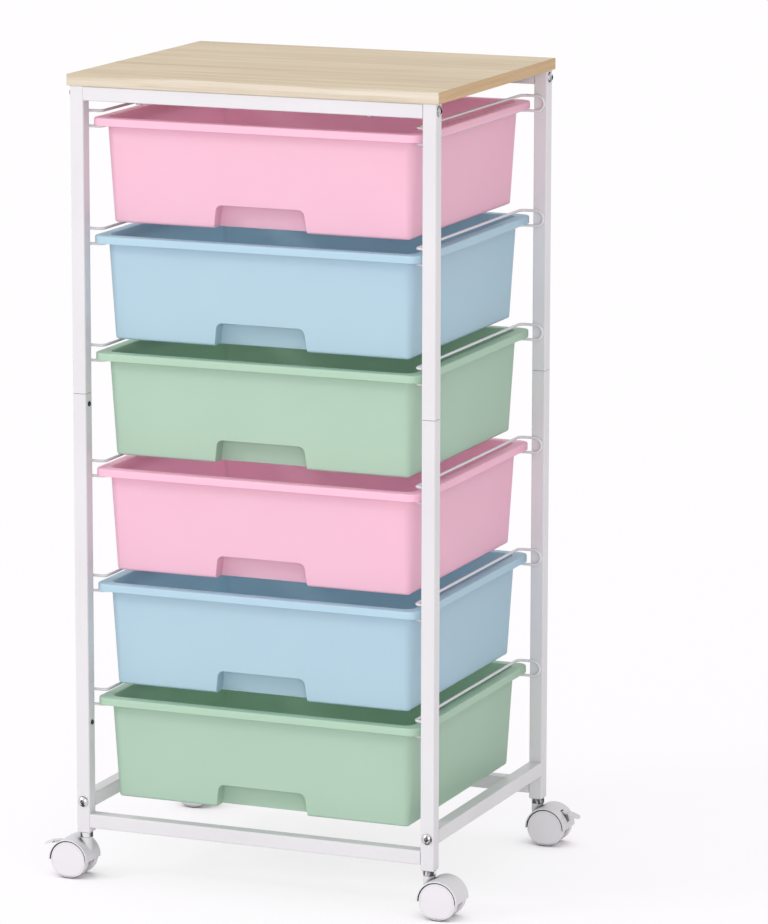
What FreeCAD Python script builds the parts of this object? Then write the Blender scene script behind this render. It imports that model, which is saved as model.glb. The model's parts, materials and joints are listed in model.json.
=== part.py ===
import FreeCAD, Part
import math
import os

# A rolling drawer tower. A bolted frame of square steel tube carries a wooden top,
# six tapered plastic tubs slide on loops of bent wire welded between the posts, and
# four twin-wheel casters stand under the posts. All lengths are in millimetres.
# The origin is on the floor under the middle of the tower, +Z is up, the drawers
# open towards -Y, and +X is on the right of someone who faces the drawers.

# Whole frame
frame_width = 404.0
frame_depth = 328.0
drawer_count = 6
cut_overrun = 4.0

# Square tube of the frame
tube_size = 15.0
tube_wall = 1.0
tube_corner = 1.5
insert_clearance = 0.1
lower_post_length = 466.5
joint_line = 0.4

# Bars and their heights
front_bar_rise = 3.5
side_bar_gap = 5.5
lowest_drawer_rise = 16.6
top_drawer_gap = 17.9

# Wooden top
top_thickness = 12.0
top_side_overhang = 3.0
top_front_overhang = 1.5
top_edge_bevel = 0.6

# Drawers: moulded tubs with an outward rim
drawer_height = 109.0
drawer_gap = 12.9
rim_side_gap = 5.0
rim_front_setback = 6.0
rim_rear_setback = 3.0
rim_band = 8.0
rim_overhang = 10.5
rim_plate = 1.8
rim_skirt = 1.8
rim_corner = 12.0
rim_edge_bevel = 0.9
corner_steps = 6
tub_wall = 1.8
tub_floor = 2.0
tub_corner = 12.0
tub_draft = 7.0
tub_foot_round = 3.0
foot_steps = 3
rib_count = 5
rib_thickness = 1.5

# Finger recess under the front of each drawer
recess_width = 103.0
recess_height = 24.0
recess_depth = 16.0
recess_side_draft = 3.0
recess_corner = 7.0

# Wire loops that the rims slide between
wire_diameter = 3.0
wire_sides = 8
wire_bend_radius = 6.0
wire_bend_steps = 2
wire_wall_gap = 0.9
wire_post_reach = 4.0
rim_seat_gap = 0.3
over_rim_gap = 4.7

# Bolts through the posts into the bar ends
bolt_shank = 6.0
bolt_head = 11.4
bolt_head_height = 3.2
bolt_head_edge = 0.7
bolt_socket = 4.0
bolt_socket_depth = 1.9
bolt_hole_play = 0.3
nut_length = 12.0
thread_play = 0.05
bolt_tip_gap = 1.0

# Sleeve inside each post joint, and the small screws in the posts
joiner_length = 70.0
joiner_wall = 1.2
joiner_screw_drop = 11.0
low_screw_rise = 116.5
screw_shank = 3.4
screw_head = 5.2
screw_head_height = 1.3
screw_reach = 4.0
screw_head_bevel = 0.5

# Screws that hold the wooden top down on its bars
top_screw_inset = 60.0
top_screw_shank = 3.6
top_screw_head = 7.6
top_screw_head_height = 1.8
top_screw_bite = 8.0

# Plugs in the ends of the posts
cap_thickness = 3.0
socket_length = 22.0
socket_flange = 2.5
socket_flange_bevel = 1.0

# Casters
wheel_radius = 20.0
wheel_width = 10.5
wheel_edge_bevel = 1.0
wheel_face = 2.0
wheel_gap = 14.0
wheel_clearance = 0.7
axle_radius = 2.5
axle_play = 0.05
axle_end_gap = 0.3
caster_trail = 14.3
hood_gap = 0.8
hood_wall = 1.4
hood_side_inset = 0.3
hood_skirt = 1.0
hub_plate_radius = 14.5
neck_radius = 6.3
neck_rise = 1.5
swivel_gap = 0.3
swivel_play = 0.05
pin_radius = 3.5
pin_length = 17.0
pin_end_bevel = 0.6
collar_flats = 13.2
collar_height = 5.0
stud_radius = 4.0
stud_length = 19.0

# Brake levers, measured from the axle: outwards along the trail, and up
lever_pivot_out = 11.5
lever_pivot_up = 11.5
lever_pin_radius = 1.5
lever_pin_play = 0.05
lever_eye_radius = 3.1
lever_arm_width = 7.0
lever_pad_width = 12.0
lever_corner = 3.0
lever_slot_lead = 1.8
lever_play = 0.3
lever_thickness = 2.6
lever_root_out = 14.8
lever_root_up = 17.2
lever_pad_out = 21.8
lever_tip_out = 33.7
lever_tip_up = 12.2
lever_tip_thickness = 1.6
lever_crown = 0.9
pocket_floor_up = 6.0
pocket_start_out = 7.0

# Heights and places worked out from the sizes above
hood_inner = wheel_radius + hood_gap
hood_radius = hood_inner + hood_wall
neck_top = wheel_radius + hood_radius + neck_rise
collar_bottom = neck_top + swivel_gap
collar_top = collar_bottom + collar_height
post_bottom = collar_top + socket_flange
post_joint = post_bottom + lower_post_length
front_bar_bottom = post_bottom + front_bar_rise
side_bar_bottom = front_bar_bottom + tube_size + side_bar_gap
side_bar_middle = side_bar_bottom + tube_size / 2
drawer_pitch = drawer_height + drawer_gap
lowest_rim = front_bar_bottom + tube_size + lowest_drawer_rise + drawer_height
highest_rim = lowest_rim + drawer_pitch * (drawer_count - 1)
top_bar_bottom = highest_rim + top_drawer_gap
top_bar_middle = top_bar_bottom + tube_size / 2
frame_top = top_bar_bottom + tube_size
total_height = frame_top + top_thickness

tube_inside = tube_size - 2 * tube_wall
insert_size = tube_inside - 2 * insert_clearance
post_x = (frame_width - tube_size) / 2
post_y = (frame_depth - tube_size) / 2
inner_x = frame_width / 2 - tube_size
inner_y = frame_depth / 2 - tube_size

rim_half_width = inner_x - rim_side_gap
rim_front = -frame_depth / 2 + rim_front_setback
rim_rear = frame_depth / 2 - rim_rear_setback
tub_half_width = rim_half_width - rim_overhang
wire_radius = wire_diameter / 2
wire_x = tub_half_width + wire_wall_gap + wire_radius
wire_y = inner_y - wire_radius
wire_spacing = rim_band + rim_seat_gap + wire_diameter + over_rim_gap

V = FreeCAD.Vector
ALONG_X = V(1, 0, 0)
ALONG_Y = V(0, 1, 0)
ALONG_Z = V(0, 0, 1)
CORNERS = {
    "front_left": (-1, -1),
    "front_right": (1, -1),
    "rear_left": (-1, 1),
    "rear_right": (1, 1),
}
BRAKED = ("front_left", "rear_right")


# Shapes that several pieces share


def rounded_rectangle(x_low, x_high, y_low, y_high, corner, height):
    """Closed wire in a level plane, with round corners."""
    slant = corner * (1 - math.sqrt(2) / 2)
    edges = []
    stops = [
        (V(x_high, y_high, height), V(-1, 0, 0), V(0, -1, 0)),
        (V(x_low, y_high, height), V(0, -1, 0), V(1, 0, 0)),
        (V(x_low, y_low, height), V(1, 0, 0), V(0, 1, 0)),
        (V(x_high, y_low, height), V(0, 1, 0), V(-1, 0, 0)),
    ]
    starts = [point + onward * corner for point, onward, back in stops]
    ends = [point + back * corner for point, onward, back in stops]
    middles = [point + (onward + back) * slant for point, onward, back in stops]
    for index in range(4):
        edges.append(Part.Arc(ends[index], middles[index], starts[index]).toShape())
        edges.append(Part.LineSegment(starts[index], ends[(index + 1) % 4]).toShape())
    return Part.Wire(edges)


def square_bar(size, corner, length):
    """Upright solid bar of square section, centred on Z, from zero up."""
    half = size / 2
    if corner > 0:
        outline = rounded_rectangle(-half, half, -half, half, corner, 0)
        return Part.Face(outline).extrude(V(0, 0, length))
    return Part.makeBox(size, size, length, V(-half, -half, 0))


def square_tube(size, wall, corner, length):
    """Upright hollow square tube, centred on Z, from zero up."""
    inside = square_bar(size - 2 * wall, 0, length + 2 * cut_overrun)
    inside.translate(V(0, 0, -cut_overrun))
    return square_bar(size, corner, length).cut(inside)


def laid_along(shape, direction):
    """Turn a shape built up along Z so that it runs along a direction."""
    turned = shape.copy()
    turned.Placement = FreeCAD.Placement(V(0, 0, 0), FreeCAD.Rotation(ALONG_Z, direction))
    return turned


def moved(shape, x, y, z):
    """Copy of a shape, moved."""
    copy = shape.copy()
    copy.translate(V(x, y, z))
    return copy


def rod(radius, start, end):
    """Round rod between two points."""
    span = end - start
    return Part.makeCylinder(radius, span.Length, start, span)


def hexagon_prism(flats, height, base):
    """Upright hexagonal prism on a level base height."""
    reach = flats / math.sqrt(3)
    corners = []
    for index in range(7):
        turn = math.radians(60 * index)
        corners.append(V(reach * math.cos(turn), reach * math.sin(turn), base))
    return Part.Face(Part.makePolygon(corners)).extrude(V(0, 0, height))


def revolved(points):
    """Turn a closed outline of (radius, height) points about Z."""
    corners = [V(radius, 0, height) for radius, height in points]
    face = Part.Face(Part.makePolygon(corners + corners[:1]))
    return face.revolve(V(0, 0, 0), ALONG_Z, 360)


def button_head(radius, height, edge):
    """Low domed screw head that stands on zero."""
    rim = V(radius, 0, edge)
    crown = V(0, 0, height)
    rise = height - edge
    dome_radius = (radius * radius + rise * rise) / (2 * rise)
    half_angle = math.asin(radius / dome_radius) / 2
    middle = V(
        dome_radius * math.sin(half_angle),
        0,
        height - dome_radius + dome_radius * math.cos(half_angle),
    )
    edges = [
        Part.LineSegment(V(0, 0, 0), V(radius, 0, 0)).toShape(),
        Part.LineSegment(V(radius, 0, 0), rim).toShape(),
        Part.Arc(rim, middle, crown).toShape(),
        Part.LineSegment(crown, V(0, 0, 0)).toShape(),
    ]
    return Part.Face(Part.Wire(edges)).revolve(V(0, 0, 0), ALONG_Z, 360)


def edges_at_height(shape, height):
    """Edges that lie level at a height."""
    found = []
    for edge in shape.Edges:
        box = edge.BoundBox
        if abs(box.ZMin - height) < 1e-4 and abs(box.ZMax - height) < 1e-4:
            found.append(edge)
    return found


def flat_face(corners):
    """Flat face inside a closed row of corner points."""
    return Part.Face(Part.makePolygon(corners + corners[:1]))


def closed_solid(faces):
    """Solid inside a closed set of faces."""
    solid = Part.Solid(Part.Shell(faces))
    if solid.Volume < 0:
        solid.reverse()
    return solid


def gathered(solids):
    """One group of separate solids."""
    return Part.makeCompound(solids)


# Frame


def bored(shape, radius, start, end):
    """Shape with a round hole from one point to another."""
    return shape.cut(rod(radius, start, end))


def upper_post(side, end):
    """Upper section of a post, with the cross hole for its top bolt."""
    base = post_joint + joint_line
    post = square_tube(tube_size, tube_wall, tube_corner, frame_top - base)
    post = moved(post, side * post_x, end * post_y, base)
    reach = V(tube_size / 2 + cut_overrun, 0, 0)
    middle = V(side * post_x, end * post_y, top_bar_middle)
    return bored(post, bolt_shank / 2 + bolt_hole_play, middle - reach, middle + reach)


def screw_heights():
    """Heights of the two small screws in each lower post."""
    return (post_joint - joiner_screw_drop, post_bottom + low_screw_rise)


def lower_post(side, end):
    """Lower section of a post, with holes for the side bar's bolt and small screws."""
    post = square_tube(tube_size, tube_wall, tube_corner, lower_post_length)
    post = moved(post, side * post_x, end * post_y, post_bottom)
    reach = V(0, tube_size / 2 + cut_overrun, 0)
    middle = V(side * post_x, end * post_y, side_bar_middle)
    post = bored(post, bolt_shank / 2 + bolt_hole_play, middle - reach, middle + reach)
    for height in screw_heights():
        axis = V(side * post_x, end * post_y, height)
        outside = axis - V(side * (tube_size / 2 + cut_overrun), 0, 0)
        post = bored(post, screw_shank / 2 + thread_play, outside, axis)
    return post


def post_joiners():
    """Square sleeves that join the two sections of each post from inside."""
    sleeves = []
    for side, end in CORNERS.values():
        sleeve = square_tube(insert_size, joiner_wall, 0, joiner_length)
        sleeve = moved(sleeve, side * post_x, end * post_y, post_joint - joiner_length / 2)
        axis = V(side * post_x, end * post_y, screw_heights()[0])
        outside = axis - V(side * (tube_size / 2 + cut_overrun), 0, 0)
        sleeves.append(bored(sleeve, screw_shank / 2 + thread_play, outside, axis))
    return gathered(sleeves)


def pan_head(radius, height, bevel):
    """Flat screw head with a bevelled rim that stands on zero."""
    outline = [
        (0, 0),
        (radius, 0),
        (radius, height - bevel),
        (radius - bevel, height),
        (0, height),
    ]
    return revolved(outline)


def small_screw():
    """Pan-head screw, head up, its seat at zero."""
    head = pan_head(screw_head / 2, screw_head_height, screw_head_bevel)
    return head.fuse(rod(screw_shank / 2, V(0, 0, -screw_reach), V(0, 0, 0)))


def post_screws():
    """Small screws on the inner faces of the lower posts."""
    screws = []
    for side, end in CORNERS.values():
        turned = laid_along(small_screw(), V(-side, 0, 0))
        for height in screw_heights():
            screws.append(moved(turned, side * inner_x, end * post_y, height))
    return gathered(screws)


def post_caps():
    """Flat plugs in the tops of the posts."""
    caps = []
    for side, end in CORNERS.values():
        cap = square_bar(insert_size, 0, cap_thickness)
        caps.append(moved(cap, side * post_x, end * post_y, frame_top - cap_thickness))
    return gathered(caps)


def stem_sockets():
    """Plugs in the feet of the posts, bored for the caster studs."""
    sockets = []
    for side, end in CORNERS.values():
        body = square_bar(insert_size, 0, socket_length)
        flange = moved(square_bar(tube_size, tube_corner, socket_flange), 0, 0, -socket_flange)
        rim = edges_at_height(flange, -socket_flange)
        socket = body.fuse(flange.makeChamfer(socket_flange_bevel, rim))
        low = V(0, 0, -socket_flange - cut_overrun)
        high = V(0, 0, socket_length + cut_overrun)
        socket = bored(socket, stud_radius + thread_play, low, high)
        sockets.append(moved(socket, side * post_x, end * post_y, post_bottom))
    return gathered(sockets)


def cross_bar(end, bottom):
    """Bar from left to right between two posts."""
    bar = square_tube(tube_size, tube_wall, tube_corner, 2 * inner_x)
    bar = laid_along(bar, ALONG_X)
    return moved(bar, -inner_x, end * post_y, bottom + tube_size / 2)


def top_screw_places():
    """Places of the screws that hold the wooden top."""
    reach = inner_x - top_screw_inset
    return [(side * reach, end * post_y) for side in (-1, 1) for end in (-1, 1)]


def top_bar(end):
    """Bar under the front or rear edge of the wooden top."""
    bar = cross_bar(end, top_bar_bottom)
    for x, y in top_screw_places():
        if y * end > 0:
            low = V(x, y, top_bar_bottom - cut_overrun)
            high = V(x, y, frame_top + cut_overrun)
            bar = bored(bar, top_screw_shank / 2 + thread_play, low, high)
    return bar


def side_bar(side):
    """Lower bar from the front post to the rear post."""
    bar = square_tube(tube_size, tube_wall, tube_corner, 2 * inner_y)
    bar = laid_along(bar, ALONG_Y)
    return moved(bar, side * post_x, -inner_y, side_bar_middle)


def end_nut():
    """Threaded plug for a bar end: its mouth is at zero and it reaches down."""
    plug = moved(square_bar(insert_size, 0, nut_length), 0, 0, -nut_length)
    low = V(0, 0, -nut_length - cut_overrun)
    return bored(plug, bolt_shank / 2 + thread_play, low, V(0, 0, cut_overrun))


def frame_bolt():
    """Button-head bolt with a hexagon socket, its seat at zero, head up."""
    head = button_head(bolt_head / 2, bolt_head_height, bolt_head_edge)
    floor = bolt_head_height - bolt_socket_depth
    socket = hexagon_prism(bolt_socket, bolt_socket_depth + cut_overrun, floor)
    reach = tube_size + nut_length - bolt_tip_gap
    shank = rod(bolt_shank / 2, V(0, 0, -reach), V(0, 0, 0))
    return head.fuse(shank).cut(socket)


def bar_end_nuts():
    """Threaded plugs in both ends of the two top bars and the two side bars."""
    nuts = []
    for side, end in CORNERS.values():
        facing_x = laid_along(end_nut(), V(side, 0, 0))
        nuts.append(moved(facing_x, side * inner_x, end * post_y, top_bar_middle))
        facing_y = laid_along(end_nut(), V(0, end, 0))
        nuts.append(moved(facing_y, side * post_x, end * inner_y, side_bar_middle))
    return gathered(nuts)


def top_bar_bolts():
    """Bolts through the sides of the posts into the top bars."""
    bolts = []
    for side, end in CORNERS.values():
        bolt = laid_along(frame_bolt(), V(side, 0, 0))
        bolts.append(moved(bolt, side * frame_width / 2, end * post_y, top_bar_middle))
    return gathered(bolts)


def side_bar_bolts():
    """Bolts through the fronts and backs of the posts into the side bars."""
    bolts = []
    for side, end in CORNERS.values():
        bolt = laid_along(frame_bolt(), V(0, end, 0))
        bolts.append(moved(bolt, side * post_x, end * frame_depth / 2, side_bar_middle))
    return gathered(bolts)


def table_top():
    """Wooden top with softly broken edges and pilot holes for its screws."""
    width = frame_width + 2 * top_side_overhang
    depth = frame_depth + 2 * top_front_overhang
    board = Part.makeBox(width, depth, top_thickness, V(-width / 2, -depth / 2, frame_top))
    board = board.makeChamfer(top_edge_bevel, board.Edges)
    for x, y in top_screw_places():
        low = V(x, y, frame_top - cut_overrun)
        high = V(x, y, frame_top + top_screw_bite + bolt_tip_gap)
        board = bored(board, top_screw_shank / 2 + thread_play, low, high)
    return board


def table_screws():
    """Screws up through the top bars into the wooden top."""
    screws = []
    for x, y in top_screw_places():
        head = pan_head(top_screw_head / 2, top_screw_head_height, screw_head_bevel)
        head = laid_along(head, V(0, 0, -1))
        shank = rod(top_screw_shank / 2, V(0, 0, 0), V(0, 0, tube_size + top_screw_bite))
        screws.append(moved(head.fuse(shank), x, y, top_bar_bottom))
    return gathered(screws)


# Wire loops


def bend_points(middle, start, end, radius, turn, steps):
    """Corner points of a bend; start and end are unit vectors from its middle."""
    step = turn / steps
    reach = radius / math.cos(math.radians(step / 2))
    points = []
    for index in range(steps):
        angle = math.radians(step * index + step / 2)
        points.append(middle + (start * math.cos(angle) + end * math.sin(angle)) * reach)
    return points


def loop_points(height):
    """Corner points of a right-hand loop, from the low front bend round to the low rear."""
    across = wire_x + wire_bend_radius
    turn_x = inner_x + wire_post_reach
    turn_radius = wire_spacing / 2
    left = V(-1, 0, 0)
    points = []
    for end in (-1, 1):
        bend_y = end * (wire_y - wire_bend_radius)
        first = height if end < 0 else height + wire_spacing
        last = 2 * height + wire_spacing - first
        outward = V(0, end, 0)
        low_bend = (wire_bend_radius, 90, wire_bend_steps)
        points += bend_points(V(across, bend_y, first), left, outward, *low_bend)
        middle = V(turn_x, end * wire_y, height + turn_radius)
        turn = (turn_radius, 180, 2 * wire_bend_steps)
        points += bend_points(middle, V(0, 0, end), ALONG_X, *turn)
        points += bend_points(V(across, bend_y, last), outward, left, *low_bend)
    return points


def carried_ring(ring, start, corner, following):
    """Carry a ring along one straight run to the mitre plane at its far corner."""
    along = (corner - start).normalize()
    onward = (following - corner).normalize()
    normal = along + onward
    carried = []
    for point in ring:
        distance = (corner - point).dot(normal) / along.dot(normal)
        carried.append(point + along * distance)
    return carried


def mitred_loop(points):
    """Closed many-sided wire through the points, its flats square to the runs."""
    reach = wire_radius / math.cos(math.pi / wire_sides)
    ring = []
    for index in range(wire_sides):
        angle = 2 * math.pi * (index + 1 / 2) / wire_sides
        ring.append(points[-1] + V(reach * math.cos(angle), 0, reach * math.sin(angle)))
    rings = []
    for index, corner in enumerate(points):
        following = points[(index + 1) % len(points)]
        ring = carried_ring(ring, points[index - 1], corner, following)
        rings.append(ring)
    faces = []
    for index, ring in enumerate(rings):
        before = rings[index - 1]
        for place in range(wire_sides):
            beside = (place + 1) % wire_sides
            faces.append(flat_face([before[place], ring[place], ring[beside], before[beside]]))
    return closed_solid(faces)


def wire_loop(side, rim_height):
    """Closed racetrack loop of wire that holds one edge of a drawer's rim."""
    height = rim_height - rim_band - rim_seat_gap - wire_radius
    loop = mitred_loop(loop_points(height))
    if side < 0:
        loop = loop.mirror(V(0, 0, 0), ALONG_X)
    return loop


# Drawers


def level_ring(half_width, front, rear, corner, inset, height):
    """Points of a level outline, its round corners in short steps, drawn in by an inset."""
    axes = [
        (half_width - corner, rear - corner),
        (-half_width + corner, rear - corner),
        (-half_width + corner, front + corner),
        (half_width - corner, front + corner),
    ]
    points = []
    for index, (x, y) in enumerate(axes):
        for step in range(corner_steps + 1):
            angle = math.radians(90 * (index + step / corner_steps))
            outward = V(math.cos(angle), math.sin(angle), 0)
            points.append(V(x, y, height) + outward * (corner - inset))
    return points


def skinned(rings):
    """Solid skinned with flat faces over level rings, from the lowest to the highest."""
    faces = [flat_face(rings[0]), flat_face(rings[-1])]
    for low, high in zip(rings, rings[1:]):
        for place in range(len(low)):
            beside = (place + 1) % len(low)
            faces.append(flat_face([low[place], low[beside], high[beside], high[place]]))
    return closed_solid(faces)


def tub_levels(wall, floor, round_foot):
    """Inset and height of the tub's levels, from its foot to its rim."""
    slope = math.atan2(tub_draft, drawer_height)
    foot_inset = wall + tub_draft * (1 - floor / drawer_height)
    levels = [(foot_inset, floor)]
    if round_foot:
        turn = math.pi / 2 - slope
        middle = foot_inset + tub_foot_round * math.tan(turn / 2)
        levels = []
        for step in range(foot_steps + 1):
            angle = turn * step / foot_steps
            inset = middle - tub_foot_round * math.sin(angle)
            levels.append((inset, floor + tub_foot_round * (1 - math.cos(angle))))
    return levels + [(wall, drawer_height)]


def tub_block(wall, floor, round_foot, rim_height):
    """Tapered block with round corners: the tub's outside, or with a wall its inside."""
    foot = rim_height - drawer_height
    front = rim_front + rim_overhang
    rear = rim_rear - rim_overhang
    rings = []
    for inset, level in tub_levels(wall, floor, round_foot):
        rings.append(level_ring(tub_half_width, front, rear, tub_corner, inset, foot + level))
    return skinned(rings)


def recess_block(grown, rim_height):
    """Finger recess as a block, grown by a wall for the inside of the tub."""
    foot = rim_height - drawer_height
    front = rim_front + rim_overhang - cut_overrun
    back = rim_front + rim_overhang + tub_draft + recess_depth + grown
    low_half = recess_width / 2 + grown
    high_half = low_half - recess_side_draft
    top = foot + recess_height + grown
    low = foot - cut_overrun
    lean = recess_side_draft * cut_overrun / recess_height
    corners = [
        V(-low_half - lean, front, low),
        V(low_half + lean, front, low),
        V(high_half, front, top),
        V(-high_half, front, top),
    ]
    block = Part.Face(Part.makePolygon(corners + corners[:1])).extrude(V(0, back - front, 0))
    shoulders = []
    for edge in edges_at_height(block, top):
        if edge.BoundBox.YLength > edge.BoundBox.XLength:
            shoulders.append(edge)
    return block.makeFillet(recess_corner + grown, shoulders)


def rim_ribs(rim_height):
    """Thin ribs under the side flanges, which ride on the wires."""
    ribs = []
    inner = tub_half_width - tub_wall / 2
    reach = rim_half_width - rim_skirt / 2 - inner
    height = rim_band - rim_plate / 2
    first = rim_front + rim_overhang + tub_corner
    last = rim_rear - rim_overhang - tub_corner
    pitch = (last - first) / (rib_count - 1)
    for index in range(rib_count):
        y = first + index * pitch - rib_thickness / 2
        for x in (inner, -inner - reach):
            place = V(x, y, rim_height - rim_band)
            ribs.append(Part.makeBox(reach, rib_thickness, height, place))
    return ribs


def rim_block(levels):
    """Block of the rim's outline over levels of (inset, height)."""
    rings = []
    for inset, height in levels:
        rings.append(level_ring(rim_half_width, rim_front, rim_rear, rim_corner, inset, height))
    return skinned(rings)


def drawer_rim(rim_height):
    """Outward flange with a turned-down skirt, hollow underneath."""
    low = rim_height - rim_band
    shoulder = rim_height - rim_edge_bevel
    block = rim_block([(0, low), (0, shoulder), (rim_edge_bevel, rim_height)])
    under = rim_height - rim_plate
    return block.cut(rim_block([(rim_skirt, low - cut_overrun), (rim_skirt, under)]))


def drawer(rim_height):
    """Moulded tub with a rim, ribs and a finger recess."""
    outside = tub_block(0, 0, True, rim_height)
    body = outside.fuse([drawer_rim(rim_height)] + rim_ribs(rim_height))
    body = body.cut(recess_block(0, rim_height))
    inside = tub_block(tub_wall, tub_floor, False, rim_height)
    inside = inside.cut(recess_block(tub_wall, rim_height))
    return body.cut(inside).removeSplitter()


# Casters, built with the swivel axis on Z and the wheels trailing towards +X


def wheel():
    """Wheel on Z, inner side at zero, with a blind bore and a plain outer face."""
    bore = axle_radius + axle_play
    outline = [
        (bore, 0),
        (wheel_radius, 0),
        (wheel_radius, wheel_width - wheel_edge_bevel),
        (wheel_radius - wheel_edge_bevel, wheel_width),
        (0, wheel_width),
        (0, wheel_width - wheel_face),
        (bore, wheel_width - wheel_face),
    ]
    return revolved(outline)


def caster_wheel(direction):
    """Wheel on one side of the caster, in the caster's place."""
    turned = laid_along(wheel(), V(0, direction, 0))
    return moved(turned, caster_trail, direction * wheel_gap / 2, wheel_radius)


def caster_axle():
    """Plain pin through the hub plate, with both ends inside the wheels."""
    half = wheel_gap / 2 + wheel_width - wheel_face - axle_end_gap
    return rod(
        axle_radius,
        V(caster_trail, -half, wheel_radius),
        V(caster_trail, half, wheel_radius),
    )


def disc_on_axle(radius, half_width):
    """Disc about the axle, the same width to both sides."""
    return rod(
        radius,
        V(caster_trail, -half_width, wheel_radius),
        V(caster_trail, half_width, wheel_radius),
    )


def caster_hood(braked):
    """Half-round hood over both wheels, with the hub plate and neck inside."""
    half_width = wheel_gap / 2 + wheel_width - hood_side_inset
    plate_half = wheel_gap / 2 - wheel_clearance
    plate_reach = plate_half + cut_overrun
    hollow = disc_on_axle(hood_inner, half_width + cut_overrun)
    shell = disc_on_axle(hood_radius, half_width).cut(hollow)
    plate = disc_on_axle(hood_inner + hood_wall / 2, plate_half)
    neck = rod(neck_radius, V(0, 0, 0), V(0, 0, neck_top))
    size = 2 * (hood_radius + cut_overrun)
    low_corner = V(caster_trail - size / 2, -size / 2, wheel_radius - hood_skirt - size)
    below = Part.makeBox(size, size, size, low_corner)
    hood = shell.fuse([plate, neck]).cut(below)
    hood = hood.fuse(disc_on_axle(hub_plate_radius, plate_half))
    pin_floor = collar_bottom - pin_length - swivel_gap
    mouth = V(0, 0, neck_top + cut_overrun)
    hood = bored(hood, pin_radius + swivel_play, V(0, 0, pin_floor), mouth)
    hood = hood.cut(disc_on_axle(axle_radius, plate_reach))
    if braked:
        hood = hood.cut(lever_room())
        pin = across_plate(lever_pin_radius + lever_pin_play, plate_reach)
        hood = hood.cut(pin)
    return hood.removeSplitter()


def across_plate(radius, half_length):
    """Rod across the hub plate at the lever's pivot."""
    middle = V(caster_trail + lever_pivot_out, 0, wheel_radius + lever_pivot_up)
    reach = V(0, half_length, 0)
    return rod(radius, middle - reach, middle + reach)


def lever_room():
    """Pocket in the hub plate for the lever's eye, and its slot out through the hood."""
    half = lever_arm_width / 2 + lever_play
    low = wheel_radius + pocket_floor_up
    height = hood_radius + cut_overrun

    def room(out):
        return Part.makeBox(height, 2 * half, height, V(caster_trail + out, -half, low))

    pocket = room(pocket_start_out).common(disc_on_axle(hood_inner, half))
    return pocket.fuse(room(lever_root_out - lever_slot_lead))


def lever_strip():
    """Curved strip of the lever from its root to its tip, as wide as the pad."""
    half_width = lever_pad_width / 2

    def at(out, up):
        return V(caster_trail + out, -half_width, wheel_radius + up)

    middle_out = (lever_root_out + lever_tip_out) / 2
    middle_up = (lever_root_up + lever_tip_up) / 2 + lever_crown
    middle_thickness = (lever_thickness + lever_tip_thickness) / 2
    first = at(lever_root_out, lever_root_up)
    last = at(lever_tip_out, lever_tip_up)
    under_last = at(lever_tip_out, lever_tip_up - lever_tip_thickness)
    under_middle = at(middle_out, middle_up - middle_thickness)
    under_first = at(lever_root_out, lever_root_up - lever_thickness)
    edges = [
        Part.Arc(first, at(middle_out, middle_up), last).toShape(),
        Part.LineSegment(last, under_last).toShape(),
        Part.Arc(under_last, under_middle, under_first).toShape(),
        Part.LineSegment(under_first, first).toShape(),
    ]
    return Part.Face(Part.Wire(edges)).extrude(V(0, lever_pad_width, 0))


def lever_plan():
    """Outline of the lever seen from above: a narrow arm, then the wide round pad."""
    pad_start = caster_trail + lever_pad_out
    pad_half = lever_pad_width / 2
    tip = caster_trail + lever_tip_out
    outline = rounded_rectangle(pad_start, tip, -pad_half, pad_half, lever_corner, 0)
    height = wheel_radius + hood_radius
    pad = Part.Face(outline).extrude(V(0, 0, height))
    arm_length = lever_pad_out - lever_root_out + 2 * lever_corner
    arm_start = V(caster_trail + lever_root_out, -lever_arm_width / 2, 0)
    arm = Part.makeBox(arm_length, lever_arm_width, height, arm_start)
    return pad.fuse(arm)


def brake_lever():
    """Foot lever on a cross pin in the hub plate, with a wide pad outside the hood."""
    arm_half = lever_arm_width / 2
    pin = across_plate(lever_pin_radius, wheel_gap / 2 - wheel_clearance)
    eye = across_plate(lever_eye_radius, arm_half)
    pivot = V(caster_trail + lever_pivot_out, -arm_half, wheel_radius + lever_pivot_up)
    root = V(caster_trail + lever_root_out, -arm_half, wheel_radius + lever_root_up)
    under_root = root - V(0, 0, lever_thickness)
    web_corners = [
        pivot - V(lever_eye_radius, 0, 0),
        root,
        under_root + V(lever_thickness, 0, lever_thickness / 2),
        under_root + V(lever_thickness, 0, 0),
        pivot + V(lever_eye_radius, 0, 0),
    ]
    web = Part.Face(Part.makePolygon(web_corners + web_corners[:1]))
    web = web.extrude(V(0, lever_arm_width, 0))
    strip = lever_strip().common(lever_plan())
    return strip.fuse([web, eye, pin]).removeSplitter()


def caster_stem():
    """Threaded stud, hexagonal collar and swivel pin in one piece."""
    collar = hexagon_prism(collar_flats, collar_height, collar_bottom)
    pin_foot = collar_bottom - pin_length
    pin = revolved(
        [
            (0, pin_foot),
            (pin_radius - pin_end_bevel, pin_foot),
            (pin_radius, pin_foot + pin_end_bevel),
            (pin_radius, collar_bottom),
            (0, collar_bottom),
        ]
    )
    stud = rod(stud_radius, V(0, 0, collar_top), V(0, 0, collar_top + stud_length))
    return collar.fuse([pin, stud])


def placed_caster(shape, side, end):
    """Put a caster piece under its post, trailing away from the middle."""
    placed = shape.copy()
    if side < 0:
        placed.rotate(V(0, 0, 0), ALONG_Z, 180)
    placed.translate(V(side * post_x, end * post_y, 0))
    return placed


def caster_stems():
    """Stems of all four casters, screwed into the posts."""
    return gathered([placed_caster(caster_stem(), *place) for place in CORNERS.values()])


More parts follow.
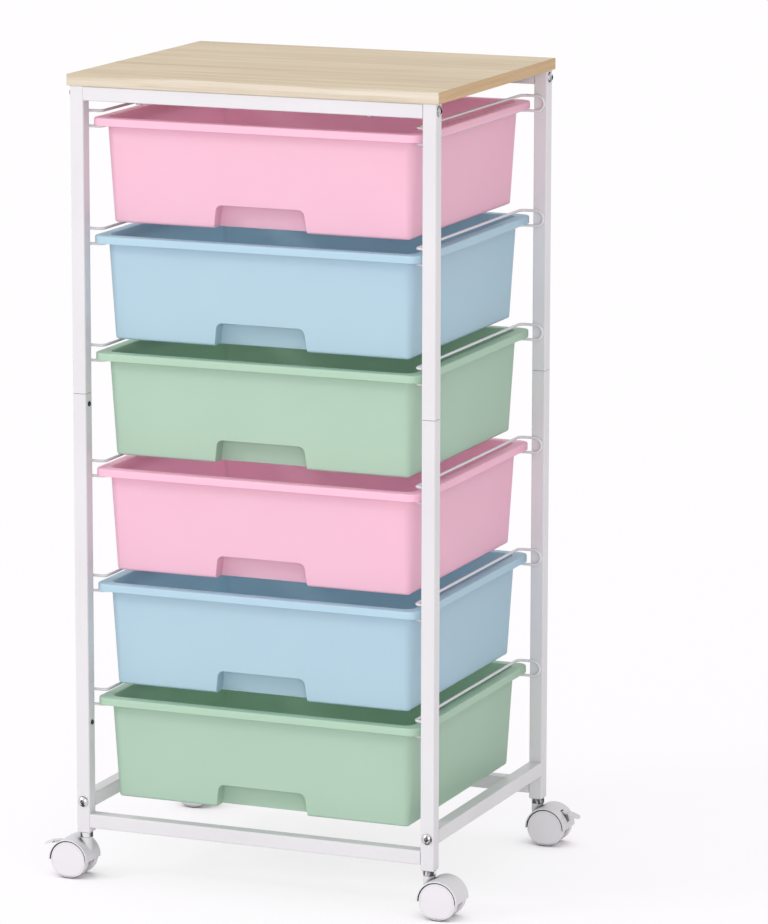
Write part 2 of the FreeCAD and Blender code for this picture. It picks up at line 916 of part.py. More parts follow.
def frame_pieces():
    """Every piece of the frame by name."""
    pieces = {
        "table_top": table_top(),
        "table_screws": table_screws(),
        "front_top_bar": top_bar(-1),
        "rear_top_bar": top_bar(1),
        "front_lower_bar": cross_bar(-1, front_bar_bottom),
        "rear_lower_bar": cross_bar(1, front_bar_bottom),
        "left_side_bar": side_bar(-1),
        "right_side_bar": side_bar(1),
        "bar_end_nuts": bar_end_nuts(),
        "top_bar_bolts": top_bar_bolts(),
        "side_bar_bolts": side_bar_bolts(),
        "post_joiners": post_joiners(),
        "post_screws": post_screws(),
        "post_caps": post_caps(),
        "stem_sockets": stem_sockets(),
        "caster_stems": caster_stems(),
    }
    for corner, place in CORNERS.items():
        pieces[corner + "_upper_post"] = upper_post(*place)
        pieces[corner + "_lower_post"] = lower_post(*place)
    return pieces


def drawer_pieces():
    """Every drawer, counted from the top, with its left and right wire loops."""
    pieces = {}
    for index in range(drawer_count):
        rim_height = highest_rim - index * drawer_pitch
        number = str(index + 1)
        pieces["drawer_" + number] = drawer(rim_height)
        pieces["left_runner_" + number] = wire_loop(-1, rim_height)
        pieces["right_runner_" + number] = wire_loop(1, rim_height)
    return pieces


def caster_pieces():
    """Every moving piece of the casters by name."""
    pieces = {}
    for corner, (side, end) in CORNERS.items():
        braked = corner in BRAKED
        pieces[corner + "_caster_hood"] = placed_caster(caster_hood(braked), side, end)
        pieces[corner + "_caster_axle"] = placed_caster(caster_axle(), side, end)
        for name, direction in (("front", -1), ("rear", 1)):
            node = corner + "_caster_" + name + "_wheel"
            pieces[node] = placed_caster(caster_wheel(direction * side), side, end)
        if braked:
            pieces[corner + "_brake_lever"] = placed_caster(brake_lever(), side, end)
    return pieces


os.makedirs("parts", exist_ok=True)
all_pieces = {}
all_pieces.update(frame_pieces())
all_pieces.update(drawer_pieces())
all_pieces.update(caster_pieces())
for piece_name, piece in all_pieces.items():
    piece.exportStep("parts/" + piece_name + ".step")
print(len(all_pieces), "pieces, height", round(total_height, 2))
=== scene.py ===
import json
import math

import bpy
from mathutils import Matrix, Vector


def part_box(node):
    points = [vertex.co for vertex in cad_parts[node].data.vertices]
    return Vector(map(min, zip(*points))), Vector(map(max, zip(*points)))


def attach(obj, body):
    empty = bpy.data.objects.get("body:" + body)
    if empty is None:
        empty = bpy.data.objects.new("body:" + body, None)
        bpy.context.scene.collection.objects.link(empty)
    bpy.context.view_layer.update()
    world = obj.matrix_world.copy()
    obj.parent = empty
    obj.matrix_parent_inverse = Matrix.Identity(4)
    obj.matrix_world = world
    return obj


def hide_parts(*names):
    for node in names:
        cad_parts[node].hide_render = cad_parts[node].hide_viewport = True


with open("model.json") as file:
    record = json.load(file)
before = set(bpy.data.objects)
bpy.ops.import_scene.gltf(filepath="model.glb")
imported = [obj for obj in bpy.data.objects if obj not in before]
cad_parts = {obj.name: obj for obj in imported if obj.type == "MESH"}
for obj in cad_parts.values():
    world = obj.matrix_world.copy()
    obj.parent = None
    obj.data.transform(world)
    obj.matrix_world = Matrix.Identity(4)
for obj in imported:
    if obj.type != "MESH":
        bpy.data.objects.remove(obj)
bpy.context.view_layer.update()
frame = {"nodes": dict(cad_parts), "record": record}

# All sizes are in metres.
MM = 0.001

# Photograph's camera, as fitted to the object's edges
PHOTO_HEIGHT = 924
SENSOR = 36.0
FOCAL_PIXELS = 5110.8
CAMERA_AZIMUTH = math.radians(22.39)
CAMERA_ELEVATION = math.radians(11.07)
CAMERA_ROLL = math.radians(0.1)
CAMERA_DISTANCE = 5.376
CAMERA_TARGET = (0.0674, 0.0278, 0.4317)
CAMERA_REACH = 100.0

CORNERS = ("front_left", "front_right", "rear_left", "rear_right")
DRAWERS = 6

# Pale, deep and pore tones of the board's top, long edges and short edges
TOP_TONES = ((0.64, 0.525, 0.355), (0.47, 0.34, 0.20), (0.34, 0.235, 0.135))
LONG_EDGE_TONES = ((0.63, 0.565, 0.47), (0.43, 0.35, 0.23), (0.32, 0.24, 0.15))
# The short edges' tones are darker, as painted shade of the board's side edges; their grain is the
# wood's own.
SHORT_EDGE_SHADE_TONES = ((0.55, 0.37, 0.185), (0.385, 0.23, 0.10), (0.28, 0.165, 0.075))

# Grain layers of the wood: stretch along the axes, then the noise's scale, detail, roughness
# and distortion; and how each layer is spread into a mask
WANDER = ((1.4, 7.0, 7.0), 1.0, 3.0, 0.55, 0.0)
LINES = ((1.1, 34.0, 34.0), 1.6, 6.0, 0.68, 0.9)
THREADS = ((2.6, 150.0, 150.0), 1.0, 5.0, 0.7, 0.5)
PORES = ((16.0, 520.0, 520.0), 1.0, 4.0, 0.7, 0.0)
WANDER_MASK = (0.0, 0.45, 0.4, 0.62)
LINES_MASK = (0.0, 0.75, 0.46, 0.66)
THREADS_MASK = (0.0, 0.5, 0.5, 0.68)
PORES_MASK = (0.0, 0.4, 0.56, 0.74)
PORE_SMOOTH = 0.44
PORE_ROUGH = 0.58
PORE_RELIEF = 0.12
PORE_DEPTH = 0.08 * MM
BOARD_COAT = 0.08
BOARD_COAT_ROUGH = 0.4

# Fine surface of paint, plastic and plating
FINE_DETAIL = 2.0
FINE_DEPTH = 0.05 * MM

# Powder coat of the frame
PAINT_TONES = ((0.60, 0.585, 0.605), (0.63, 0.615, 0.635))
PAINT_PEEL = {
    "Cloud_Scale": 9.0,
    "Grain_Scale": 650.0,
    "Smooth": 0.28,
    "Rough": 0.42,
    "Relief": 0.3,
}
PAINT_COAT = 0.15
PAINT_COAT_ROUGH = 0.25

# Moulded plastic
PLASTIC_MOTTLE = {
    "Cloud_Scale": 14.0,
    "Grain_Scale": 900.0,
    "Smooth": 0.34,
    "Rough": 0.44,
    "Relief": 0.12,
}
PLASTIC_IOR = 1.49

# Drawer plastics: name, colour, shade and the share of the light that passes
DRAWER_FINISHES = {
    "pink_plastic": ("pink_moulded", (0.99, 0.69, 0.81), (0.985, 0.675, 0.80), 0.45),
    "blue_plastic": ("blue_moulded", (0.585, 0.768, 0.852), (0.57, 0.753, 0.842), 0.42),
    "green_plastic": ("green_moulded", (0.548, 0.73, 0.592), (0.533, 0.715, 0.577), 0.38),
}

# Caster plastics: name, colour and shade
CASTER_FINISHES = {
    "white_plastic": ("white_moulded", (0.65, 0.635, 0.655), (0.63, 0.615, 0.635)),
    "white_wheels": ("wheel_moulded", (0.67, 0.65, 0.675), (0.65, 0.63, 0.655)),
    "grey_plastic": ("grey_moulded", (0.45, 0.45, 0.47), (0.42, 0.42, 0.44)),
}

# Plated metals: name, dark and bright tone of the painted reflection bands, scale of the bands,
# least and most roughness
PLATED_FINISHES = {
    "chrome_stems": ("bright_chrome", (0.08, 0.08, 0.09), (0.80, 0.80, 0.82), 190.0, 0.08, 0.14),
    "zinc_bolts": ("bright_zinc", (0.06, 0.06, 0.065), (0.66, 0.66, 0.68), 260.0, 0.14, 0.26),
    "zinc_screws": ("plain_zinc", (0.48, 0.48, 0.49), (0.62, 0.62, 0.64), 200.0, 0.30, 0.45),
    "dark_screws": ("blackened_steel", (0.03, 0.03, 0.03), (0.07, 0.07, 0.075), 200.0, 0.35, 0.5),
}
PLATED_CLOUD = 60.0
PLATED_GRAIN = 800.0
PLATED_RELIEF = 0.05
# Painted reflection bands: their stretch, noise detail and roughness, and how the noise is spread
# into a mask
BAND_STRETCH = (1.0, 1.0, 0.25)
BAND_DETAIL = 1.0
BAND_ROUGH = 0.4
BAND_MASK = (0.0, 1.0, 0.44, 0.56)

# Softened edges of the moulded and painted pieces
DRAWER_EDGE = 0.6 * MM
POST_EDGE = 0.3 * MM
BOARD_EDGE = 0.5 * MM
CASTER_EDGE = 0.4 * MM
SMALL_EDGE = 0.2 * MM
SHARP_ANGLE = math.radians(32)
FLAT_ANGLE = math.radians(1)
MERGE_DISTANCE = 0.004 * MM
EVEN_WEIGHT = 80

# Wire loops
WIRE_RADIUS = 1.5 * MM
WIRE_BEND = 6.0 * MM
WIRE_BEND_STEPS = 6
WIRE_ROUNDNESS = 5

# Twin wheels
WHEEL_SIDES = 96
WHEEL_ROUND = 1.3 * MM
WHEEL_ROUND_STEPS = 5
WHEEL_RIM = 1.7 * MM
GROOVE_SIDE = 0.25 * MM
GROOVE_DEPTH = 0.2 * MM
WHEEL_CROWN = 0.7 * MM
CROWN_RINGS = 5
SMOOTH_ANGLE = math.radians(30)

# Painted shade in narrow gaps, such as between a wheel and its hood
GAP_REACH = 7.0 * MM
GAP_DARK = 0.05
GAP_METAL = (0.02, 0.02, 0.02)
GAP_SHUT = 0.42
GAP_OPEN = 0.80
GAP_SAMPLES = 8

# Tolerance for finding a vertex by its place
NEAR = 0.05 * MM

# A face points along an axis where its normal has at least this much of it
MOSTLY = 0.6
SQUARELY = 0.9

# Floor, with the share of it that is seen as plain backdrop: near and far from the object,
# and close beside the casters
FLOOR_SIZE = 30.0
FLOOR_COLOUR = (0.96, 0.93, 0.96)
FLOOR_ROUGH = 0.9
FLOOR_GLOSS = 0.1
BACKDROP_COLOUR = (1.0, 0.985, 1.0)
SHARE_NEAR = 0.78
SHARE_FAR = 1.0
NEAR_FLOOR = 0.5
FAR_FLOOR = 2.5
CONTACT_SHARE = 0.15
CONTACT_REACH = 72.0 * MM

# Sky and lamps
LIGHT_FROM = (-0.2, -0.75, 0.62)
SKY_BRIGHT = 1.0
SKY_DIM = 0.69
LAMP_TARGET = (0, 0, 0.4)
KEY_PLACE = (-3.0, -2.4, 2.6)
KEY_SIZE = 0.9
KEY_POWER = 50.0
FILL_PLACE = (2.4, -5.0, 1.5)
FILL_SIZE = 1.2
FILL_POWER = 78.0


# Materials


def new_material(name):
    """Material with its node tree and its shader."""
    made = bpy.data.materials.new(name)
    made.use_nodes = True
    return made, made.node_tree, made.node_tree.nodes["Principled BSDF"]


def add_node(tree, kind, **inputs):
    """Node of a kind, with its sockets set by name to plain values or links."""
    node = tree.nodes.new(kind)
    for name, value in inputs.items():
        socket = node.inputs[name.replace("_", " ")]
        if isinstance(value, bpy.types.NodeSocket):
            tree.links.new(value, socket)
        else:
            socket.default_value = value
    return node


def object_place(tree):
    """Object coordinates."""
    return tree.nodes.new("ShaderNodeTexCoord").outputs["Object"]


def stretched(tree, vector, scale):
    """Coordinates stretched along the axes."""
    return add_node(tree, "ShaderNodeMapping", Vector=vector, Scale=scale).outputs["Vector"]


def noise(tree, vector, scale, detail, rough=0.5, distortion=0.0):
    """Noise value on a vector."""
    settings = {"Scale": scale, "Detail": detail, "Roughness": rough, "Distortion": distortion}
    return add_node(tree, "ShaderNodeTexNoise", Vector=vector, **settings).outputs["Fac"]


def grain_layer(tree, vector, layer):
    """Noise of one grain layer of the wood."""
    stretch, *settings = layer
    return noise(tree, stretched(tree, vector, stretch), *settings)


def spread(tree, value, low, high, from_low=0.3, from_high=0.7):
    """Value mapped from one range to another, held at its ends."""
    ranges = {"From Min": from_low, "From Max": from_high, "To Min": low, "To Max": high}
    return add_node(tree, "ShaderNodeMapRange", Value=value, **ranges).outputs["Result"]


def between(tree, factor, first, second):
    """Colour between two colours or links."""
    node = tree.nodes.new("ShaderNodeMix")
    node.data_type = "RGBA"
    tree.links.new(factor, node.inputs["Factor"])
    sockets = [entry for entry in node.inputs if entry.type == "RGBA"]
    for socket, colour in zip(sockets, (first, second)):
        if isinstance(colour, tuple):
            socket.default_value = (*colour, 1.0)
        else:
            tree.links.new(colour, socket)
    return [entry for entry in node.outputs if entry.type == "RGBA"][0]


def combined(tree, operation, first, second):
    """Value of two links put together by a Math node."""
    node = tree.nodes.new("ShaderNodeMath")
    node.operation = operation
    tree.links.new(first, node.inputs[0])
    tree.links.new(second, node.inputs[1])
    return node.outputs[0]


def new_group(name, inputs, outputs):
    """Shader node group with named sockets, its tree, its entry and its exit."""
    tree = bpy.data.node_groups.new(name, "ShaderNodeTree")
    for socket, kind in inputs:
        tree.interface.new_socket(socket, in_out="INPUT", socket_type="NodeSocket" + kind)
    for socket, kind in outputs:
        tree.interface.new_socket(socket, in_out="OUTPUT", socket_type="NodeSocket" + kind)
    entry = tree.nodes.new("NodeGroupInput")
    leave = tree.nodes.new("NodeGroupOutput")
    return tree, entry.outputs, leave.inputs


def fine_surface_group():
    """Fine grain of a moulded, painted or plated surface, with a soft cloud across it."""
    inputs = (
        ("Cloud Scale", "Float"),
        ("Grain Scale", "Float"),
        ("Smooth", "Float"),
        ("Rough", "Float"),
        ("Relief", "Float"),
    )
    outputs = (("Cloud", "Float"), ("Roughness", "Float"), ("Normal", "Vector"))
    tree, entry, leave = new_group("fine_surface", inputs, outputs)
    place = object_place(tree)
    cloud = noise(tree, place, entry["Cloud Scale"], FINE_DETAIL)
    grain = noise(tree, place, entry["Grain Scale"], FINE_DETAIL)
    tree.links.new(spread(tree, cloud, 0.0, 1.0), leave["Cloud"])
    tree.links.new(spread(tree, grain, entry["Smooth"], entry["Rough"]), leave["Roughness"])
    relief = add_node(
        tree, "ShaderNodeBump", Strength=entry["Relief"], Distance=FINE_DEPTH, Height=grain
    )
    tree.links.new(relief.outputs["Normal"], leave["Normal"])
    return tree


def growth_lines_group():
    """Wood: slow changes of tone, wandering growth lines and short dark pores along X."""
    inputs = (("Vector", "Vector"), ("Pale", "Color"), ("Deep", "Color"), ("Pore", "Color"))
    outputs = (("Color", "Color"), ("Roughness", "Float"), ("Normal", "Vector"))
    tree, entry, leave = new_group("growth_lines", inputs, outputs)
    place = entry["Vector"]
    wander, lines, threads, pores = (
        grain_layer(tree, place, layer) for layer in (WANDER, LINES, THREADS, PORES)
    )
    pale, deep, pore = entry["Pale"], entry["Deep"], entry["Pore"]
    toned = between(tree, spread(tree, wander, *WANDER_MASK), pale, deep)
    lined = between(tree, spread(tree, lines, *LINES_MASK), toned, deep)
    threaded = between(tree, spread(tree, threads, *THREADS_MASK), lined, deep)
    pored = between(tree, spread(tree, pores, *PORES_MASK), threaded, pore)
    tree.links.new(pored, leave["Color"])
    tree.links.new(spread(tree, pores, PORE_SMOOTH, PORE_ROUGH), leave["Roughness"])
    relief = add_node(
        tree, "ShaderNodeBump", Strength=PORE_RELIEF, Distance=PORE_DEPTH, Height=pores
    )
    tree.links.new(relief.outputs["Normal"], leave["Normal"])
    return tree


def gap_shade_group():
    """Mask of narrow gaps and sunken places: 1 in the open, 0 deep in a gap."""
    tree, entry, leave = new_group("gap_shade", (("Reach", "Float"),), (("Open", "Float"),))
    gap = add_node(tree, "ShaderNodeAmbientOcclusion", Distance=entry["Reach"])
    gap.samples = GAP_SAMPLES
    tree.links.new(spread(tree, gap.outputs["AO"], 0.0, 1.0, GAP_SHUT, GAP_OPEN), leave["Open"])
    return tree


def painted_reflection_bands_group():
    """Painted reflection: uneven bright and dark bands on a polished surface, drawn out along Z."""
    inputs = (("Band Scale", "Float"), ("Dark", "Color"), ("Bright", "Color"))
    tree, entry, leave = new_group("painted_reflection_bands", inputs, (("Color", "Color"),))
    laid = stretched(tree, object_place(tree), BAND_STRETCH)
    bands = noise(tree, laid, entry["Band Scale"], BAND_DETAIL, BAND_ROUGH)
    mask = spread(tree, bands, *BAND_MASK)
    tree.links.new(between(tree, mask, entry["Dark"], entry["Bright"]), leave["Color"])
    return tree


def place_group(tree, group, **inputs):
    """Group in a material, with its sockets set."""
    node = tree.nodes.new("ShaderNodeGroup")
    node.node_tree = group
    for name, value in inputs.items():
        socket = node.inputs[name.replace("_", " ")]
        if isinstance(value, bpy.types.NodeSocket):
            tree.links.new(value, socket)
        else:
            socket.default_value = (*value, 1.0) if isinstance(value, tuple) else value
    return node.outputs


def place_surface(tree, group, shader, **inputs):
    """Group in a material, with its roughness and normal led to the shader."""
    surface = place_group(tree, group, **inputs)
    tree.links.new(surface["Roughness"], shader.inputs["Roughness"])
    tree.links.new(surface["Normal"], shader.inputs["Normal"])
    return surface


fine_surface = fine_surface_group()
growth_lines = growth_lines_group()
gap_shade = gap_shade_group()
painted_reflection_bands = painted_reflection_bands_group()


def plastic_base(name, colour, shade):
    """Smooth moulded plastic with a faint mottle and a soft gloss."""
    made, tree, shader = new_material(name)
    surface = place_surface(tree, fine_surface, shader, **PLASTIC_MOTTLE)
    shader.inputs["IOR"].default_value = PLASTIC_IOR
    return made, tree, shader, between(tree, surface["Cloud"], shade, colour)


def drawer_plastic(name, colour, shade, passed):
    """Thin-walled plastic that lets a share of the light through its walls."""
    made, tree, shader, tint = plastic_base(name, colour, shade)
    tree.links.new(tint, shader.inputs["Base Color"])
    glowing = add_node(tree, "ShaderNodeBsdfTranslucent", Color=(*shade, 1.0))
    mixed = tree.nodes.new("ShaderNodeMixShader")
    mixed.inputs[0].default_value = passed
    tree.links.new(shader.outputs["BSDF"], mixed.inputs[1])
    tree.links.new(glowing.outputs["BSDF"], mixed.inputs[2])
    tree.links.new(mixed.outputs[0], tree.nodes["Material Output"].inputs["Surface"])
    return made


def caster_plastic(name, colour, shade):
    """Solid plastic, with shade painted dark where it lies deep in a gap."""
    made, tree, shader, tint = plastic_base(name, colour, shade)
    open_place = place_group(tree, gap_shade, Reach=GAP_REACH)["Open"]
    # Painted shade: the tint falls to a near-black shade deep in gaps.
    painted_gap_shade = tuple(GAP_DARK * part for part in shade)
    tree.links.new(between(tree, open_place, painted_gap_shade, tint), shader.inputs["Base Color"])
    return made


def powder_coat():
    """White powder-coated steel: a fine orange peel and a slightly uneven gloss."""
    made, tree, shader = new_material("white_powder_coat")
    surface = place_surface(tree, fine_surface, shader, **PAINT_PEEL)
    tint = between(tree, surface["Cloud"], *PAINT_TONES)
    tree.links.new(tint, shader.inputs["Base Color"])
    shader.inputs["Coat Weight"].default_value = PAINT_COAT
    shader.inputs["Coat Roughness"].default_value = PAINT_COAT_ROUGH
    return made


def board_wood(name, turn, pale, deep, pore):
    """Light wood of the board; turn lays the grain along X, or along Y on the short edges."""
    made, tree, shader = new_material(name)
    laid = add_node(tree, "ShaderNodeMapping", Vector=object_place(tree), Rotation=(0, 0, turn))
    surface = place_surface(
        tree, growth_lines, shader, Vector=laid.outputs["Vector"], Pale=pale, Deep=deep, Pore=pore
    )
    tree.links.new(surface["Color"], shader.inputs["Base Color"])
    shader.inputs["Coat Weight"].default_value = BOARD_COAT
    shader.inputs["Coat Roughness"].default_value = BOARD_COAT_ROUGH
    return made


def plated(name, dark, bright, band, smooth, rough):
    """Plated metal with painted reflection bands, painted shade deep in gaps and faint turning
    marks.
    """
    made, tree, shader = new_material(name)
    turned = {"Cloud_Scale": PLATED_CLOUD, "Grain_Scale": PLATED_GRAIN, "Relief": PLATED_RELIEF}
    place_surface(tree, fine_surface, shader, Smooth=smooth, Rough=rough, **turned)
    # The dark and bright bands are a painted reflection.
    painted_reflection = place_group(tree, painted_reflection_bands, Band_Scale=band, Dark=dark, Bright=bright)["Color"]
    # Painted shade: near-black metal deep in gaps and sockets.
    open_place = place_group(tree, gap_shade, Reach=GAP_REACH)["Open"]
    tree.links.new(between(tree, open_place, GAP_METAL, painted_reflection), shader.inputs["Base Color"])
    shader.inputs["Metallic"].default_value = 1.0
    return made


def make_materials():
    """One finished material for each slot of the record."""
    made = {"wood_top": board_wood("pale_board", 0.0, *TOP_TONES), "white_paint": powder_coat()}
    for maker, finishes in (
        (drawer_plastic, DRAWER_FINISHES),
        (caster_plastic, CASTER_FINISHES),
        (plated, PLATED_FINISHES),
    ):
        for slot, finish in finishes.items():
            made[slot] = maker(*finish)
    return made


materials = make_materials()
slot_of = {entry["node"]: entry["material_slot"] for entry in frame["record"]["subparts"]}
body_of = {
    node: body for body, nodes in frame["record"]["behaviour"]["bodies"].items() for node in nodes
}


def dress_nodes():
    """Give every CAD node the finished material of its slot."""
    for node, shown in frame["nodes"].items():
        shown.data.materials.clear()
        shown.data.materials.append(materials[slot_of[node]])


# Modelling helpers


def choose(piece):
    """Select one object alone and make it the active one."""
    bpy.ops.object.select_all(action="DESELECT")
    piece.select_set(True)
    bpy.context.view_layer.objects.active = piece


def edit(piece):
    """Enter edit mode on one object."""
    choose(piece)
    bpy.ops.object.mode_set(mode="EDIT")


def leave_edit():
    """Back to object mode."""
    bpy.ops.object.mode_set(mode="OBJECT")


def pick(piece, kind, wanted):
    """In edit mode, select the vertices, edges or faces that are wanted."""
    bpy.ops.mesh.select_mode(type=kind)
    bpy.ops.mesh.select_all(action="DESELECT")
    leave_edit()
    shape = piece.data
    for item in {"VERT": shape.vertices, "EDGE": shape.edges, "FACE": shape.polygons}[kind]:
        item.select = wanted(item)
    bpy.ops.object.mode_set(mode="EDIT")


def settle(piece, name, node):
    """Name a finished piece, fix its place in its mesh, hang it on its body and hide its CAD node.
    """
    choose(piece)
    bpy.ops.object.transform_apply(location=True, rotation=True, scale=True)
    piece.name = name
    piece.data.name = name
    piece.data.materials.clear()
    piece.data.materials.append(materials[slot_of[node]])
    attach(piece, body_of[node])
    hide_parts(node)


def softened(node, edge, segments=2):
    """Copy of a CAD node with merged faces, softly rounded edges and even shading."""
    piece = bpy.data.objects.new(node, frame["nodes"][node].data.copy())
    bpy.context.scene.collection.objects.link(piece)
    edit(piece)
    bpy.ops.mesh.customdata_custom_splitnormals_clear()
    bpy.ops.mesh.select_all(action="SELECT")
    bpy.ops.mesh.remove_doubles(threshold=MERGE_DISTANCE)
    bpy.ops.mesh.dissolve_limited(angle_limit=FLAT_ANGLE, delimit={"NORMAL"})
    leave_edit()
    bpy.ops.object.shade_smooth()
    bevel = piece.modifiers.new("soft_edges", "BEVEL")
    bevel.width = edge
    bevel.segments = segments
    bevel.limit_method = "ANGLE"
    bevel.angle_limit = SHARP_ANGLE
    even = piece.modifiers.new("even_shading", "WEIGHTED_NORMAL")
    even.weight = EVEN_WEIGHT
    bpy.ops.object.modifier_apply(modifier=bevel.name)
    bpy.ops.object.modifier_apply(modifier=even.name)
    settle(piece, "rounded_" + node, node)
    return piece


# Pieces


def wire_loop(node, side):
    """Round wire bent to a loop: edges of a box, rounded at the corners and thickened."""
    low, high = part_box(node)
    near_post = high.x if side > 0 else low.x
    near_drawer = low.x if side > 0 else high.x
    outer = near_post - side * WIRE_RADIUS
    inner = near_drawer + side * WIRE_RADIUS
    size = high - low - Vector((1, 1, 1)) * 2 * WIRE_RADIUS
    bpy.ops.object.select_all(action="DESELECT")
    bpy.ops.mesh.primitive_cube_add(size=1, location=(low + high) / 2, scale=size)
    piece = bpy.context.object
    bpy.ops.object.transform_apply(location=True, rotation=True, scale=True)
    points = piece.data.vertices

    def spare(edge):
        first, last = (points[index].co for index in edge.vertices)
        at_drawer = abs(first.x - inner) < NEAR and abs(last.x - inner) < NEAR
        at_post = abs(first.x - outer) < NEAR and abs(last.x - outer) < NEAR
        upright = abs(first.z - last.z) > NEAR
        along = abs(first.y - last.y) > NEAR
        return (upright and at_drawer) or (along and at_post)

    edit(piece)
    bpy.ops.mesh.select_all(action="SELECT")
    bpy.ops.mesh.delete(type="ONLY_FACE")
    pick(piece, "EDGE", spare)
    bpy.ops.mesh.delete(type="EDGE")
    pick(piece, "VERT", lambda point: abs(point.co.x - inner) < NEAR)
    bpy.ops.mesh.bevel(offset=WIRE_BEND, segments=WIRE_BEND_STEPS, affect="VERTICES")
    pick(piece, "VERT", lambda point: abs(point.co.x - outer) < NEAR)
    bpy.ops.mesh.bevel(offset=size.z / 2, segments=2 * WIRE_BEND_STEPS, affect="VERTICES")
    bpy.ops.mesh.select_all(action="SELECT")
    bpy.ops.mesh.remove_doubles(threshold=NEAR)
    leave_edit()
    bpy.ops.object.convert(target="CURVE")
    piece = bpy.context.object
    piece.data.bevel_depth = WIRE_RADIUS
    piece.data.bevel_resolution = WIRE_ROUNDNESS
    bpy.ops.object.convert(target="MESH")
    piece = bpy.context.object
    bpy.ops.object.shade_smooth()
    settle(piece, "wire_" + node, node)


def wheel_disc(node, side):
    """Wheel of a twin caster: round tread edge, shallow groove inside the rim, soft crown."""
    low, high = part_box(node)
    radius = (high.x - low.x) / 2
    thick = high.y - low.y - WHEEL_CROWN
    face_y = high.y - WHEEL_CROWN if side > 0 else low.y + WHEEL_CROWN
    middle = (low + high) / 2
    middle.y = face_y - side * thick / 2
    bpy.ops.object.select_all(action="DESELECT")
    bpy.ops.mesh.primitive_cylinder_add(
        vertices=WHEEL_SIDES,
        radius=radius,
        depth=thick,
        location=middle,
        rotation=(math.pi / 2, 0, 0),
    )
    piece = bpy.context.object
    bpy.ops.object.transform_apply(location=True, rotation=True, scale=True)
    edit(piece)
    pick(piece, "FACE", lambda face: face.normal.y * side > SQUARELY)
    for width, rise in (
        (WHEEL_RIM, 0),
        (GROOVE_SIDE, -GROOVE_DEPTH),
        (GROOVE_SIDE, 0),
        (GROOVE_SIDE, GROOVE_DEPTH),
    ):
        bpy.ops.mesh.inset(thickness=width, depth=rise)
    crown = radius - WHEEL_RIM - 3 * GROOVE_SIDE
    steps = CROWN_RINGS + 1
    for step in range(CROWN_RINGS):
        start = 1 - step / steps
        end = 1 - (step + 1) / steps
        bpy.ops.mesh.inset(thickness=crown / steps, depth=WHEEL_CROWN * (start**2 - end**2))
    points = piece.data.vertices

    def at_tread(edge):
        for place in (points[index].co for index in edge.vertices):
            reach = math.hypot(place.x - middle.x, place.z - middle.z)
            if abs(reach - radius) > NEAR or abs(place.y - face_y) > NEAR:
                return False
        return True

    pick(piece, "EDGE", at_tread)
    bpy.ops.mesh.bevel(offset=WHEEL_ROUND, segments=WHEEL_ROUND_STEPS, affect="EDGES")
    leave_edit()
    bpy.ops.object.shade_smooth_by_angle(angle=SMOOTH_ANGLE)
    settle(piece, "disc_" + node, node)


def board():
    """Wood board with softened edges, its grain turned along each edge and painted shade on its
    short edges.
    """
    piece = softened("table_top", BOARD_EDGE)
    piece.data.materials.append(board_wood("long_edge", 0.0, *LONG_EDGE_TONES))
    piece.data.materials.append(board_wood("short_edge_painted_shade", math.pi / 2, *SHORT_EDGE_SHADE_TONES))
    for face in piece.data.polygons:
        if abs(face.normal.y) > MOSTLY:
            face.material_index = 1
        # Faces along X take the darker short-edge tones: painted shade.
        elif abs(face.normal.x) > MOSTLY:
            face.material_index = 2


def build_pieces():
    """Every piece that stands for a CAD node."""
    board()
    for index in range(DRAWERS):
        number = str(index + 1)
        softened("drawer_" + number, DRAWER_EDGE)
        wire_loop("left_runner_" + number, -1)
        wire_loop("right_runner_" + number, 1)
    for corner in CORNERS:
        softened(corner + "_upper_post", POST_EDGE)
        softened(corner + "_lower_post", POST_EDGE)
        softened(corner + "_caster_hood", CASTER_EDGE)
        wheel_disc(corner + "_caster_front_wheel", -1)
        wheel_disc(corner + "_caster_rear_wheel", 1)
        if corner + "_brake_lever" in frame["nodes"]:
            softened(corner + "_brake_lever", CASTER_EDGE)
    for small in ("top_bar_bolts", "side_bar_bolts", "caster_stems", "stem_sockets"):
        softened(small, SMALL_EDGE)


# Room, light and camera


def build_room():
    """Plain pale floor, seen nearer to white away from the object, with its shadow kept."""
    made, tree, shader = new_material("pale_floor")
    shader.inputs["Base Color"].default_value = (*FLOOR_COLOUR, 1.0)
    shader.inputs["Roughness"].default_value = FLOOR_ROUGH
    shader.inputs["Specular IOR Level"].default_value = FLOOR_GLOSS
    white = add_node(tree, "ShaderNodeEmission", Color=(*BACKDROP_COLOUR, 1.0), Strength=1.0)
    away = tree.nodes.new("ShaderNodeVectorMath")
    away.operation = "LENGTH"
    tree.links.new(object_place(tree), away.inputs[0])
    clearer = spread(tree, away.outputs["Value"], SHARE_NEAR, SHARE_FAR, NEAR_FLOOR, FAR_FLOOR)
    open_place = place_group(tree, gap_shade, Reach=CONTACT_REACH)["Open"]
    shaded = spread(tree, open_place, CONTACT_SHARE, 1.0, 0.0, 1.0)
    share = combined(tree, "MULTIPLY", background_rays(tree), clearer)
    share = combined(tree, "MULTIPLY", share, shaded)
    mixed = tree.nodes.new("ShaderNodeMixShader")
    tree.links.new(share, mixed.inputs[0])
    tree.links.new(shader.outputs["BSDF"], mixed.inputs[1])
    tree.links.new(white.outputs["Emission"], mixed.inputs[2])
    tree.links.new(mixed.outputs[0], tree.nodes["Material Output"].inputs["Surface"])
    bpy.ops.object.select_all(action="DESELECT")
    bpy.ops.mesh.primitive_plane_add(size=FLOOR_SIZE, location=(0, 0, 0))
    floor = bpy.context.object
    floor.name = "floor"
    floor.data.materials.append(made)


def background_rays(tree):
    """1 for the rays that see the background itself: camera, glossy and transmission rays."""
    rays = tree.nodes.new("ShaderNodeLightPath").outputs
    glossy = combined(tree, "MAXIMUM", rays["Is Camera Ray"], rays["Is Glossy Ray"])
    return combined(tree, "MAXIMUM", glossy, rays["Is Transmission Ray"])


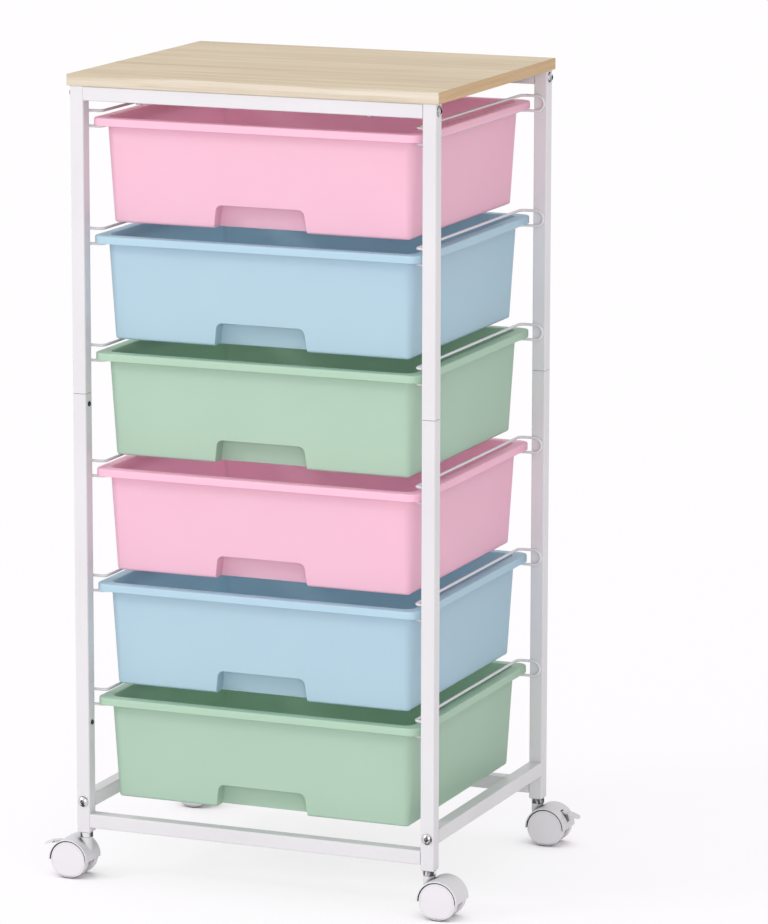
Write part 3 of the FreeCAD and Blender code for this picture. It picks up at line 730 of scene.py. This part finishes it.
def build_sky():
    """Soft surroundings, brighter from the front left and above; the background stays white."""
    world = bpy.data.worlds.new("studio")
    world.use_nodes = True
    tree = world.node_tree
    background = tree.nodes["Background"]
    direction = tree.nodes.new("ShaderNodeTexCoord").outputs["Generated"]
    facing = tree.nodes.new("ShaderNodeVectorMath")
    facing.operation = "DOT_PRODUCT"
    tree.links.new(direction, facing.inputs[0])
    facing.inputs[1].default_value = Vector(LIGHT_FROM).normalized()
    lit = spread(tree, facing.outputs["Value"], SKY_DIM, SKY_BRIGHT, -1.0, 1.0)
    level = tree.nodes.new("ShaderNodeMix")
    tree.links.new(background_rays(tree), level.inputs["Factor"])
    tree.links.new(lit, level.inputs["A"])
    level.inputs["B"].default_value = 1.0
    tree.links.new(level.outputs["Result"], background.inputs["Strength"])
    background.inputs["Color"].default_value = (1, 1, 1, 1)
    bpy.context.scene.world = world


def add_lamp(name, place, size, power):
    """Square soft lamp that faces the object."""
    bpy.ops.object.light_add(type="AREA", location=place)
    lamp = bpy.context.object
    lamp.name = name
    lamp.data.size = size
    lamp.data.energy = power
    lamp.rotation_euler = (Vector(LAMP_TARGET) - Vector(place)).to_track_quat("-Z", "Y").to_euler()


def build_lamps():
    """Soft key from the upper left, and a fill from the front that reaches into the drawers."""
    add_lamp("key", KEY_PLACE, KEY_SIZE, KEY_POWER)
    add_lamp("fill", FILL_PLACE, FILL_SIZE, FILL_POWER)


def build_camera():
    """Camera of the photograph."""
    data = bpy.data.cameras.new("photo_camera")
    data.sensor_fit = "VERTICAL"
    data.sensor_height = SENSOR
    data.lens = FOCAL_PIXELS * SENSOR / PHOTO_HEIGHT
    data.clip_end = CAMERA_REACH
    level = math.cos(CAMERA_ELEVATION)
    away = Vector(
        (
            math.sin(CAMERA_AZIMUTH) * level,
            -math.cos(CAMERA_AZIMUTH) * level,
            math.sin(CAMERA_ELEVATION),
        )
    )
    place = Vector(CAMERA_TARGET) + away * CAMERA_DISTANCE
    camera = bpy.data.objects.new("photo_camera", data)
    upright = (-away).to_track_quat("-Z", "Y").to_matrix().to_4x4()
    camera.matrix_world = Matrix.Translation(place) @ upright @ Matrix.Rotation(CAMERA_ROLL, 4, "Z")
    bpy.context.scene.collection.objects.link(camera)
    bpy.context.scene.camera = camera


dress_nodes()
build_pieces()
build_room()
build_sky()
build_lamps()
build_camera()
bpy.context.scene.view_settings.view_transform = "Standard"
